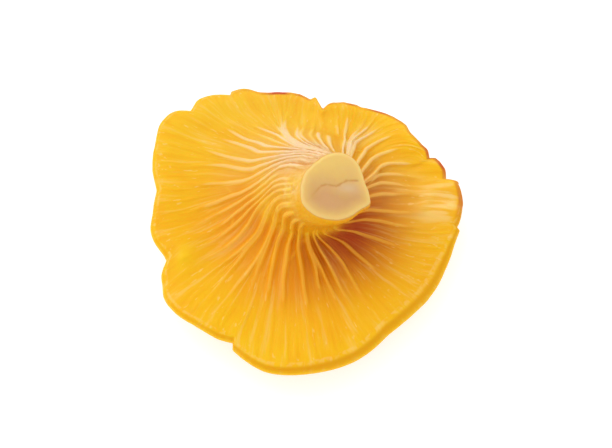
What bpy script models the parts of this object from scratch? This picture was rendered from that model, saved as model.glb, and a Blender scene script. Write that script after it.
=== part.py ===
"""A golden chanterelle lying cap down on a surface, with its short cut stem up.

It grew as one piece, so it is one solid. Rings of points run from the cut of the stem, down its
flank, out over the false gills to the rolled margin, and back under the cap's skin. The false
gills are raised from the flesh by a formula along columns that follow each ridge and its fork.
Lengths are in millimetres and angles in degrees until the mesh is made, in metres, +Z up.
"""

import math
from typing import NamedTuple

import bmesh
import bpy
import numpy as np

MM = 0.001

# The fan of ridges spreads from this point of the plan, a little behind the middle of the cap.
FAN_CENTRE = np.array((0.5, 7.0))
FOOT_RADIUS = 12.0

# The stem leans right and forward, and its cut is a little out of level, as a knife leaves it.
CUT_CENTRE = np.array((5.7, 1.9))
CUT_HEIGHT = 22.5
CUT_SLOPE = np.array((-0.16, 0.2))
CUT_RIM = (
    (11, 5.7), (32, 5.9), (49, 6.3), (61, 6.5), (80, 6.5), (102, 6.1), (127, 5.6), (165, 6.1),
    (191, 6.6), (211, 7.1), (233, 6.9), (261, 6.4), (283, 6.2), (303, 6.1), (320, 6.2), (330, 6.7),
    (337, 7.1), (346, 6.7), (355, 6.3),
)


# The cap's outline in plan as lobes, each a smooth curve of azimuth and radius about the fan's
# centre. Neighbouring lobes meet at a nick in the margin.
MARGIN_LOBES = (
    ((7.2, 26.9), (10.4, 27.1), (14.1, 26.5), (16.6, 25.9)),
    ((17.4, 24.6), (20, 24.9), (25, 24.3), (31, 23.7), (38, 24.0), (43, 23.7), (48, 23.3),
     (56, 22.3), (60, 21.8), (65, 21.6), (74, 20.9), (78, 20.3), (80.4, 19.2)),
    ((81.4, 19.3), (83.6, 20.4), (85.6, 21.5), (87.2, 21.3)),
    ((88.4, 21.1), (93, 22.1), (104, 23.3), (109, 23.8), (113.3, 24.8), (116, 26.0), (119, 26.8),
     (122.6, 27.3)),
    ((124, 26.8), (130, 28.9), (135, 29.8), (139.4, 29.3)),
    ((141, 29.1), (144, 31.0), (150, 32.1), (160, 31.2), (170, 30.1), (175.6, 29.1)),
    ((177.6, 28.8), (186, 29.6), (195, 30.7), (204.2, 29.8)),
    ((206.4, 29.8), (210, 31.8), (214, 33.0), (218, 34.3), (224, 34.8), (234, 34.3), (241.5, 34.1),
     (245.5, 33.6)),
    ((246.4, 34.9), (250, 35.7), (258, 37.1), (264, 37.1), (268, 36.8), (285, 34.9), (300, 32.0),
     (309, 31.4), (318, 31.0), (334, 29.9), (341, 29.7), (346.8, 29.9)),
    ((347.8, 29.3), (351, 29.7), (355, 29.8), (360, 29.7), (364, 29.2), (366, 28.8), (366.6, 28.0)),
)
# Inward of the margin the nicks soften into an outline averaged over this many degrees each way.
NICK_BLUR = 24

# How far inside the outline the margin's roll has its crest, and how thick the margin is.
ROLL_INSET = (
    (10, 0.4), (60, 0.4), (120, 0.6), (165, 0.8), (210, 1.1), (240, 1.2), (262, 1.7), (300, 2.5),
    (335, 2.0), (350, 0.8),
)
MARGIN_THICKNESS = ((10, 1.3), (75, 1.3), (165, 1.8), (250, 2.2), (310, 2.6))

# Sway of the margin's height, as amplitude, number of waves round the cap, and azimuth of a crest.
MARGIN_WAVES = ((0.7, 2, 40), (0.6, 3, 150), (0.35, 5, 20), (0.25, 9, 190))

# Swellings and hollows of the gill side: azimuth, radius from the fan's centre, reach and height.
SWELLINGS = (
    (205, 25.5, 3.2, 0.9),
    (355, 25.0, 3.0, 0.6),
    (14, 22.0, 2.6, -0.5),
    (172, 21.0, 4.5, 0.7),
    (310, 17.0, 5.5, -0.9),
)


class Station(NamedTuple):
    """A ring of the upper side, from the stem's cut at 0 to the crest of the margin at 1."""

    at: float
    to_foot: float  # share of the way from the cut's radius to the foot's
    to_margin: float  # share of the way from the foot's radius to the margin's crest
    height: float


PROFILE = (
    Station(0.00, 0.00, 0.00, CUT_HEIGHT),
    Station(0.12, 0.03, 0.00, 18.6),
    Station(0.24, 0.16, 0.00, 14.6),
    Station(0.35, 0.50, 0.00, 11.2),
    Station(0.45, 1.00, 0.03, 9.0),
    Station(0.60, 1.00, 0.30, 7.2),
    Station(0.76, 1.00, 0.62, 7.1),
    Station(0.90, 1.00, 0.88, 7.8),
    Station(1.00, 1.00, 1.00, 7.9),
)
# The leaning centre line has reached the fan's centre at this station.
LEAN_END = 0.45
# At the back left the stem widens early, by up to this share of the way to the foot's radius.
FLARE = 0.24
FLARE_AZIMUTH = 150
FLARE_REACH = 75

# Rings on the skin side, as shares of the way out from the centre to the margin, and heights.
# It is dished in the middle and lies on the low band round the dish.
SKIN_PROFILE = (
    (0.94, 5.4), (0.86, 4.0), (0.75, 2.2), (0.63, 0.6), (0.55, 0.08), (0.45, 0.08),
    (0.33, 0.7), (0.20, 1.5), (0.08, 1.9),
)
# Three shallow flutes cross that band, and between them the cap has settled into small flats.
REST_SHARE = 0.50
REST_REACH = 0.16
REST_AZIMUTH = 270
SETTLED = 0.2
FLUTE_HEIGHT = 0.55


class Gill(NamedTuple):
    """A false gill: its azimuths at the path's stations, and the stretch where it stands up."""

    path: tuple
    height: float
    start: float  # station where it rises out of the flesh
    reach: float  # station where it has sunk back


# Neighbours that run close together on the stem and part further out are one gill that forks.
PATH_STATIONS = (0.22, 0.36, 0.42, 0.50, 0.60, 0.76, 1.0)
PATH_SOFTNESS = 0.025  # the bends of a path are rounded over this many stations each way
GILLS = (
    Gill((-15, -3, 4, 9.5, 9.3, 4.6, 3), 0.40, 0.30, 0.85),
    Gill((-9, 2, 8, 15.5, 16.6, 10.6, 6.6), 0.40, 0.40, 0.88),
    Gill((-3, 5, 11, 19, 23.3, 19.5, 12.5), 0.70, 0.25, 0.93),
    Gill((5, 15, 23, 29.5, 31.6, 29.3, 17), 0.60, 0.25, 0.92),
    Gill((15, 26, 33, 37.8, 40.4, 38.6, 29), 0.70, 0.24, 0.94),
    Gill((29, 38, 43.5, 48.2, 50, 47, 41), 0.55, 0.22, 0.94),
    Gill((31, 41, 46.5, 52, 53.4, 51.5, 51.5), 0.60, 0.22, 0.92),
    Gill((33, 44, 49, 54, 55.6, 55, 58), 0.40, 0.24, 0.92),
    Gill((41, 50, 54, 57.6, 61, 64.3, 68), 0.60, 0.20, 0.94),
    Gill((45, 55, 59, 63, 66.5, 71, 75), 0.25, 0.50, 0.92),
    Gill((56, 66, 69.5, 72, 73.5, 75, 78), 0.40, 0.27, 0.52),
    Gill((63, 75, 80, 80, 79.5, 80, 80.9), 0.45, 0.27, 0.53),
    Gill((70, 82, 87, 86, 85, 85, 85.6), 0.15, 0.12, 0.80),
    Gill((76, 90, 96, 94.5, 92.5, 90, 88), 0.18, 0.08, 0.82),
    Gill((81, 95, 99.5, 98, 96.8, 94.5, 92), 0.24, 0.08, 0.74),
    Gill((85, 100, 105, 107, 106.3, 100.5, 95), 0.26, 0.06, 0.88),
    Gill((88, 103, 107, 108.5, 108, 105.2, 104), 0.32, 0.06, 0.90),
    Gill((91, 106, 109, 109.6, 111, 114, 116), 0.26, 0.06, 0.80),
    Gill((94, 109, 112.5, 114.3, 119.8, 127, 126), 0.30, 0.04, 0.80),
    Gill((97, 113, 118, 121.5, 126, 131.5, 133), 0.20, 0.30, 0.84),
    Gill((101, 119, 128, 130.6, 134.3, 137, 140), 0.40, 0.02, 0.86),
    Gill((105, 127, 136.5, 137.6, 139.8, 146, 148), 0.38, 0.02, 0.84),
    Gill((111, 138, 148, 150, 152, 154, 156), 0.36, 0.02, 0.90),
    Gill((118, 149, 157, 158, 159, 165, 168.5), 0.32, 0.04, 0.92),
    Gill((127, 160, 169, 170.5, 172, 175.3, 176.6), 0.32, 0.06, 0.88),
    Gill((142, 174, 180.5, 182, 184.6, 189, 191), 0.36, 0.06, 0.85),
    Gill((155, 181, 187, 190, 192.6, 197, 198), 0.26, 0.20, 0.82),
    Gill((166, 189, 194, 197.3, 200.4, 203, 205), 0.34, 0.10, 0.80),
    Gill((174, 195, 200.5, 204, 206.3, 208.5, 211), 0.38, 0.06, 0.80),
    Gill((182, 199.5, 208.3, 213, 214.6, 214.3, 216), 0.42, 0.08, 0.80),
    Gill((190, 213.5, 221.5, 223, 222, 221.4, 221), 0.45, 0.08, 0.82),
    Gill((192, 215.5, 223.5, 224.5, 226, 228.5, 231), 0.40, 0.08, 0.80),
    Gill((202, 227, 232.5, 234.8, 235.2, 235.3, 236.3), 0.58, 0.10, 0.80),
    Gill((204, 229, 234.5, 236.4, 239, 243, 245), 0.42, 0.10, 0.74),
    Gill((216, 238.5, 241.7, 245, 248.2, 251.5, 254), 0.78, 0.12, 0.74),
    Gill((229, 250, 252.5, 254.2, 256.2, 260, 262), 0.84, 0.14, 0.76),
    Gill((240, 257.5, 261.5, 265, 267.8, 271, 273), 0.94, 0.16, 0.76),
    Gill((252, 266, 271, 275.3, 276.3, 278, 279), 0.80, 0.30, 0.68),
    Gill((254, 268, 272.8, 278, 281.7, 285.5, 288), 0.94, 0.30, 0.78),
    Gill((262, 274.5, 279.5, 284.5, 287.3, 290.3, 293), 0.84, 0.28, 0.80),
    Gill((268, 279, 288, 294, 296, 297, 298.5), 0.96, 0.27, 0.84),
    Gill((272, 284, 294, 299, 302, 304, 306), 0.25, 0.52, 0.88),
    Gill((276, 288, 300.8, 306, 309.4, 311.5, 314), 0.64, 0.28, 0.82),
    Gill((284, 296, 309, 315.5, 319, 320.5, 323), 0.22, 0.52, 0.84),
    Gill((292, 303, 315.5, 322.7, 327.6, 331, 335), 0.42, 0.28, 0.84),
    Gill((304, 318, 330, 337.3, 340.4, 343.4, 347.3), 0.42, 0.28, 0.88),
    Gill((318, 332, 340.5, 345.5, 349, 351, 352), 0.42, 0.28, 0.86),
    Gill((332, 345, 354, 359.5, 361, 361, 358.5), 0.34, 0.28, 0.86),
)
RIDGE_CREST_SHARE = 0.4  # of the half width
# Half a ridge's width at its foot, by station. It narrows outwards.
RIDGE_HALF_WIDTH = ((0.0, 0.5), (0.3, 0.75), (0.45, 0.85), (0.6, 0.75), (0.8, 0.6), (1.0, 0.5))
ROOM_SHARE = 0.38  # of the gap to the next ridge that one may fill
MERGED_GAP = 0.5  # the furrow between two ridges opens from this gap
OPEN_GAP = 1.5  # and has its full depth at this one

# A ridge rises within this many stations, is highest at the stem's foot, and then sinks slowly.
RIDGE_RISE = 0.09
STEM_RIDGE_SHARE = 0.6
SINK_FROM = 0.5
SHORTEST_SINK = 0.1
FAINT_SHARE = 0.05

# Rings of the mesh. The roll of the margin is an arc of this many steps, an even number, so
# that one ring lies on the outline itself.
UPPER_RINGS = (
    0.0, 0.08, 0.16, 0.24, 0.30, 0.36, 0.42, 0.48, 0.54, 0.61, 0.68, 0.76, 0.84, 0.92, 1.0,
)
ROLL_STEPS = 4
SLOPE_STEP = 0.01


def smooth_step(low, high, value):
    share = np.clip((value - low) / (high - low), 0.0, 1.0)
    return share * share * (3.0 - 2.0 * share)


def spline(knots, values, at):
    """A smooth curve through the values at the knots, read at the given places."""
    knots = np.asarray(knots, float)
    values = np.asarray(values, float)
    slopes = np.gradient(values, knots, axis=0)
    at = np.clip(at, knots[0], knots[-1])
    i = np.clip(np.searchsorted(knots, at, side="right") - 1, 0, len(knots) - 2)
    width = knots[i + 1] - knots[i]
    x = (at - knots[i]) / width
    return (
        values[i] * (2 * x**3 - 3 * x**2 + 1)
        + slopes[i] * width * (x**3 - 2 * x**2 + x)
        + values[i + 1] * (3 * x**2 - 2 * x**3)
        + slopes[i + 1] * width * (x**3 - x**2)
    )


def around(table, azimuth):
    """A smooth closed curve through a table of azimuth and value."""
    knots = [a for a, _ in table]
    values = [v for _, v in table]
    wrapped = [knots[-1] - 360, *knots, knots[0] + 360, knots[1] + 360]
    return spline(wrapped, [values[-1], *values, values[0], values[1]],
                  knots[0] + (azimuth - knots[0]) % 360)


def margin_curve():
    """Azimuths and radii of the whole outline, with a corner wherever two lobes meet."""
    azimuths, radii = [], []
    for lobe in MARGIN_LOBES:
        knots, values = zip(*lobe)
        at = np.linspace(knots[0], knots[-1], 8 * len(lobe))
        azimuths.extend(at)
        radii.extend(spline(knots, values, at))
    return np.array(azimuths), np.array(radii)


OUTLINE = margin_curve()


def margin_radius(azimuth, nearness=1.0):
    """Radius of the margin, with its nicks as sharp as the given nearness to the margin."""
    sharp = np.interp(azimuth, *OUTLINE, period=360)
    turns = np.linspace(-NICK_BLUR, NICK_BLUR, 9)
    soft = np.mean([np.interp(azimuth + turn, *OUTLINE, period=360) for turn in turns], axis=0)
    return soft + (sharp - soft) * nearness


def direction(azimuth):
    turn = np.radians(azimuth)
    return np.stack((np.cos(turn), np.sin(turn)), axis=-1)


def margin_height(azimuth):
    """Height of the margin's crest round the cap."""
    height = np.full(np.shape(azimuth), PROFILE[-1].height)
    for amplitude, waves, crest in MARGIN_WAVES:
        height = height + amplitude * np.cos(np.radians(waves * (azimuth - crest)))
    return height


def upper_point(azimuth, at):
    """A point of the upper side with no ridges on it, for an array of azimuths at one station."""
    cut = around(CUT_RIM, azimuth)
    crest = margin_radius(azimuth, smooth_step(0.5, 1.0, at)) - around(ROLL_INSET, azimuth)
    radii = [
        cut + s.to_foot * (FOOT_RADIUS - cut) + s.to_margin * (crest - FOOT_RADIUS)
        for s in PROFILE
    ]
    knots = [s.at for s in PROFILE]
    turn = (azimuth - FLARE_AZIMUTH + 180) % 360 - 180
    flare = FLARE * np.exp(-((turn / FLARE_REACH) ** 2))
    flare = flare * math.sin(math.pi * min(at / LEAN_END, 1.0))
    radius = spline(knots, radii, at) + flare * (FOOT_RADIUS - cut)
    lean = smooth_step(0.0, LEAN_END, at)
    centre = CUT_CENTRE + lean * (FAN_CENTRE - CUT_CENTRE)
    plan = centre + radius[..., None] * direction(azimuth)

    height = spline(knots, [s.height for s in PROFILE], at)
    height = height + (margin_height(azimuth) - PROFILE[-1].height) * smooth_step(LEAN_END, 1.0, at)
    height = height + ((plan - centre) @ CUT_SLOPE) * (1.0 - smooth_step(0.0, LEAN_END, at))
    for turn, reach_out, reach, swell in SWELLINGS:
        away = plan - FAN_CENTRE - reach_out * direction(turn)
        height = height + swell * np.exp(-(away**2).sum(axis=-1) / (2 * reach**2))
    return np.concatenate((plan, height[..., None]), axis=-1)


def upper_normal(azimuth, at):
    """Outward direction of the upper side at those points."""
    low, high = max(at - SLOPE_STEP, 0.0), min(at + SLOPE_STEP, 1.0)
    outward = upper_point(azimuth, high) - upper_point(azimuth, low)
    across = upper_point(azimuth + 0.5, at) - upper_point(azimuth - 0.5, at)
    normal = np.cross(outward, across)
    return normal / np.linalg.norm(normal, axis=-1, keepdims=True)


def gill_azimuths(at):
    """The azimuth of every gill at one station, in order round the fan."""
    paths = np.array([g.path for g in GILLS], float)
    nearby = (at - PATH_SOFTNESS, at, at + PATH_SOFTNESS)
    return np.mean([spline(PATH_STATIONS, paths.T, station) for station in nearby], axis=0)


def ridge_columns(at):
    """Azimuths of the five columns of every ridge at one station, and how far they are raised."""
    centre = gill_azimuths(at)
    across = upper_point(centre, at) - upper_point(centre + 180, at)
    per_mm = np.degrees(2 / np.linalg.norm(across[:, :2], axis=1))
    gap = (np.roll(centre, -1) - centre) % 360 / per_mm
    gap_before = np.roll(gap, 1)

    full = np.array([g.height for g in GILLS])
    start = np.array([g.start for g in GILLS])
    reach = np.array([g.reach for g in GILLS])
    rise = smooth_step(0.0, RIDGE_RISE, at - start)
    rise = rise * (STEM_RIDGE_SHARE + (1 - STEM_RIDGE_SHARE) * smooth_step(0.0, 0.45, at))
    sink_from = np.minimum(SINK_FROM, reach - SHORTEST_SINK)
    height = full * rise * (1 - (1 - FAINT_SHARE) * smooth_step(sink_from, reach, at))
    joined = 1 - smooth_step(MERGED_GAP, OPEN_GAP, gap)

    widest = np.interp(at, *zip(*RIDGE_HALF_WIDTH))
    before = np.minimum(widest, ROOM_SHARE * gap_before) * per_mm
    after = np.minimum(widest, ROOM_SHARE * gap) * per_mm
    middle = joined * (height + np.roll(height, -1)) / 2
    columns = (
        (centre - before, height * np.roll(joined, 1)),
        (centre - RIDGE_CREST_SHARE * before, height),
        (centre + RIDGE_CREST_SHARE * after, height),
        (centre + after, height * joined),
        (centre + gap * per_mm / 2, middle),
    )
    azimuth, raised = (np.stack(parts, axis=1).ravel() for parts in zip(*columns))
    return azimuth, raised


def roll_ring(azimuth, step):
    """A ring of the margin's roll, an arc from its crest over the edge to its underside."""
    inset = around(ROLL_INSET, azimuth)
    half = around(MARGIN_THICKNESS, azimuth) / 2
    turn = math.pi * step / ROLL_STEPS
    reach = inset if turn < math.pi / 2 else np.minimum(inset, half)
    radius = margin_radius(azimuth) - reach * (1 - math.sin(turn))
    height = margin_height(azimuth) - half * (1 - math.cos(turn))
    plan = FAN_CENTRE + radius[..., None] * direction(azimuth)
    return np.concatenate((plan, height[..., None]), axis=-1)


def skin_ring(azimuth, share, height):
    """A ring of the cap's skin, which faces down. Shallow flutes leave three places to rest on."""
    edge = margin_radius(azimuth, smooth_step(0.5, 1.0, share))
    radius = share * (edge - around(MARGIN_THICKNESS, azimuth) / 2)
    plan = FAN_CENTRE * share + direction(azimuth) * radius[..., None]
    sway = (margin_height(azimuth) - PROFILE[-1].height) * smooth_step(0.5, 1.0, share)
    near_rest = math.exp(-(((share - REST_SHARE) / REST_REACH) ** 2))
    flute = FLUTE_HEIGHT * (1 - np.cos(np.radians(3 * (azimuth - REST_AZIMUTH)))) / 2
    level = np.maximum(height + sway + near_rest * (flute - SETTLED), 0.0)
    return np.concatenate((plan, level[..., None]), axis=-1)


def add_ring(mesh, points):
    return [mesh.verts.new(p) for p in points * MM]


def bridge(mesh, upper, lower):
    """Faces between two closed rings. The lower one has as many points, or half as many."""
    n = len(upper)
    if len(lower) == n:
        for i in range(n):
            j = (i + 1) % n
            mesh.faces.new((upper[i], lower[i], lower[j], upper[j]))
        return
    for i in range(len(lower)):
        j = (i + 1) % len(lower)
        a, b, c = upper[2 * i], upper[2 * i + 1], upper[(2 * i + 2) % n]
        mesh.faces.new((a, lower[i], b))
        mesh.faces.new((b, lower[i], lower[j]))
        mesh.faces.new((b, lower[j], c))


def chanterelle_mesh():
    """The whole mushroom as one closed mesh."""
    mesh = bmesh.new()
    ring = None
    for at in UPPER_RINGS:
        azimuth, raised = ridge_columns(at)
        points = upper_point(azimuth, at) + raised[:, None] * upper_normal(azimuth, at)
        below = add_ring(mesh, points)
        if ring is None:
            mesh.faces.new(below)
        else:
            bridge(mesh, ring, below)
        ring = below
    for step in range(1, ROLL_STEPS + 1):
        below = add_ring(mesh, roll_ring(azimuth, step))
        bridge(mesh, ring, below)
        ring = below
    even = azimuth[0] + np.arange(len(azimuth)) * 360 / len(azimuth)
    azimuth = np.unwrap(azimuth, period=360)
    for i, (share, height) in enumerate(SKIN_PROFILE):
        stride = 2 if i < 2 else 4
        spaced = (azimuth * share + even * (1 - share))[::stride]
        below = add_ring(mesh, skin_ring(spaced, share, height))
        bridge(mesh, ring, below)
        ring = below
    mesh.faces.new(ring[::-1])
    bmesh.ops.recalc_face_normals(mesh, faces=mesh.faces)
    return mesh


def centred(mesh):
    """Moves the plan so that the middle of the cap's box is over the origin."""
    points = np.array([v.co for v in mesh.verts])
    middle = (points.min(axis=0) + points.max(axis=0)) / 2
    bmesh.ops.translate(mesh, verts=mesh.verts, vec=(-middle[0], -middle[1], 0.0))


def flesh_material():
    material = bpy.data.materials.new("chanterelle_flesh")
    material.use_nodes = True
    shader = material.node_tree.nodes["Principled BSDF"]
    shader.inputs["Base Color"].default_value = (0.93, 0.47, 0.04, 1.0)
    shader.inputs["Roughness"].default_value = 0.5
    shader.inputs["Metallic"].default_value = 0.0
    return material


def build():
    for obj in list(bpy.data.objects):
        bpy.data.objects.remove(obj)
    mesh = chanterelle_mesh()
    centred(mesh)
    data = bpy.data.meshes.new("chanterelle")
    mesh.to_mesh(data)
    mesh.free()
    data.shade_smooth()
    data.materials.append(flesh_material())
    chanterelle = bpy.data.objects.new("chanterelle", data)
    bpy.context.scene.collection.objects.link(chanterelle)


build()
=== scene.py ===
"""The look of a golden chanterelle lying cap down, with its cut stem up.

The form is the one its solid has, made again from the same formulas with many more points: the
false gills get round crests, veins across the furrows and low ridges between them, the margin
gets a finer roll, and the cut of the stem a crack. Masks worked out with the points steer one
procedural material. Lengths are in millimetres and angles in degrees until the mesh is made, in
metres, +Z up.
"""

import math
import random
from typing import NamedTuple

import bpy
import numpy as np
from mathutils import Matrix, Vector, noise


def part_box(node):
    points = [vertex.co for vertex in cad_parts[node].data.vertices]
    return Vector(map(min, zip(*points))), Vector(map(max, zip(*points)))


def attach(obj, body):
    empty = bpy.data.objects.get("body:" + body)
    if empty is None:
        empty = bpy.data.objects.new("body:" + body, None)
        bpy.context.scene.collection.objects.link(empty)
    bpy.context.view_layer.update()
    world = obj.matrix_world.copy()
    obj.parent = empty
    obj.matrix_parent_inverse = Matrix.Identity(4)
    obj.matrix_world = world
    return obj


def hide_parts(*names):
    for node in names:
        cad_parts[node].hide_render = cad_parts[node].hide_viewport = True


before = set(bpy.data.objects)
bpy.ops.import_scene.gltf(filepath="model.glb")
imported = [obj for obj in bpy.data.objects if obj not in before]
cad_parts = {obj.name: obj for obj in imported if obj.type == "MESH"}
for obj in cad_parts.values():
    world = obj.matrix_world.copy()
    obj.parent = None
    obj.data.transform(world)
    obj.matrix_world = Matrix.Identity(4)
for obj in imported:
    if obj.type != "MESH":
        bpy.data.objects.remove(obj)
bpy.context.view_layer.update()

MM = 0.001
SEED = 11

# The fan of ridges spreads from this point of the plan, a little behind the middle of the cap.
FAN_CENTRE = np.array((0.5, 7.0))
FOOT_RADIUS = 12.0

# The stem leans right and forward, and its cut is a little out of level, as a knife leaves it.
CUT_CENTRE = np.array((5.7, 1.9))
CUT_HEIGHT = 22.5
CUT_SLOPE = np.array((-0.16, 0.2))
CUT_RIM = (
    (11, 5.7), (32, 5.9), (49, 6.3), (61, 6.5), (80, 6.5), (102, 6.1), (127, 5.6), (165, 6.1),
    (191, 6.6), (211, 7.1), (233, 6.9), (261, 6.4), (283, 6.2), (303, 6.1), (320, 6.2), (330, 6.7),
    (337, 7.1), (346, 6.7), (355, 6.3),
)

# The cap's outline in plan as lobes, each a smooth curve of azimuth and radius about the fan's
# centre. Neighbouring lobes meet at a nick in the margin.
MARGIN_LOBES = (
    ((7.2, 26.9), (10.4, 27.1), (14.1, 26.5), (16.6, 25.9)),
    ((17.4, 24.6), (20, 24.9), (25, 24.3), (31, 23.7), (38, 24.0), (43, 23.7), (48, 23.3),
     (56, 22.3), (60, 21.8), (65, 21.6), (74, 20.9), (78, 20.3), (80.4, 19.2)),
    ((81.4, 19.3), (83.6, 20.4), (85.6, 21.5), (87.2, 21.3)),
    ((88.4, 21.1), (93, 22.1), (104, 23.3), (109, 23.8), (113.3, 24.8), (116, 26.0), (119, 26.8),
     (122.6, 27.3)),
    ((124, 26.8), (130, 28.9), (135, 29.8), (139.4, 29.3)),
    ((141, 29.1), (144, 31.0), (150, 32.1), (160, 31.2), (170, 30.1), (175.6, 29.1)),
    ((177.6, 28.8), (186, 29.6), (195, 30.7), (204.2, 29.8)),
    ((206.4, 29.8), (210, 31.8), (214, 33.0), (218, 34.3), (224, 34.8), (234, 34.3), (241.5, 34.1),
     (245.5, 33.6)),
    ((246.4, 34.9), (250, 35.7), (258, 37.1), (264, 37.1), (268, 36.8), (285, 34.9), (300, 32.0),
     (309, 31.4), (318, 31.0), (334, 29.9), (341, 29.7), (346.8, 29.9)),
    ((347.8, 29.3), (351, 29.7), (355, 29.8), (360, 29.7), (364, 29.2), (366, 28.8), (366.6, 28.0)),
)
# Inward of the margin the nicks soften into an outline averaged over this many degrees each way.
NICK_BLUR = 24

# How far inside the outline the margin's roll has its crest, and how thick the margin is.
ROLL_INSET = (
    (10, 0.4), (60, 0.4), (120, 0.6), (165, 0.8), (210, 1.1), (240, 1.2), (262, 1.7), (300, 2.5),
    (335, 2.0), (350, 0.8),
)
MARGIN_THICKNESS = ((10, 1.3), (75, 1.3), (165, 1.8), (250, 2.2), (310, 2.6))

# Sway of the margin's height, as amplitude, number of waves round the cap, and azimuth of a crest.
MARGIN_WAVES = ((0.7, 2, 40), (0.6, 3, 150), (0.35, 5, 20), (0.25, 9, 190))

# Swellings and hollows of the gill side: azimuth, radius from the fan's centre, reach and height.
SWELLINGS = (
    (205, 25.5, 3.2, 0.9),
    (355, 25.0, 3.0, 0.6),
    (14, 22.0, 2.6, -0.5),
    (172, 21.0, 4.5, 0.7),
    (310, 17.0, 5.5, -0.9),
)


class Station(NamedTuple):
    """A ring of the upper side, from the stem's cut at 0 to the crest of the margin at 1."""

    at: float
    to_foot: float  # share of the way from the cut's radius to the foot's
    to_margin: float  # share of the way from the foot's radius to the margin's crest
    height: float


PROFILE = (
    Station(0.00, 0.00, 0.00, CUT_HEIGHT),
    Station(0.12, 0.03, 0.00, 18.6),
    Station(0.24, 0.16, 0.00, 14.6),
    Station(0.35, 0.50, 0.00, 11.2),
    Station(0.45, 1.00, 0.03, 9.0),
    Station(0.60, 1.00, 0.30, 7.2),
    Station(0.76, 1.00, 0.62, 7.1),
    Station(0.90, 1.00, 0.88, 7.8),
    Station(1.00, 1.00, 1.00, 7.9),
)
# The leaning centre line has reached the fan's centre at this station.
LEAN_END = 0.45
# At the back left the stem widens early, by up to this share of the way to the foot's radius.
FLARE = 0.24
FLARE_AZIMUTH = 150
FLARE_REACH = 75

# The skin side, as shares of the way out from the centre to the margin, and heights. It is
# dished in the middle and lies on the low band round the dish.
SKIN_PROFILE = (
    (0.94, 5.4), (0.86, 4.0), (0.75, 2.2), (0.63, 0.6), (0.55, 0.08), (0.45, 0.08),
    (0.33, 0.7), (0.20, 1.5), (0.08, 1.9),
)
# Three shallow flutes cross that band, and between them the cap has settled into small flats.
REST_SHARE = 0.50
REST_REACH = 0.16
REST_AZIMUTH = 270
SETTLED = 0.2
FLUTE_HEIGHT = 0.55


class Gill(NamedTuple):
    """A false gill: its azimuths at the path's stations, and the stretch where it stands up."""

    path: tuple
    height: float
    start: float  # station where it rises out of the flesh
    reach: float  # station where it has sunk back


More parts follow.
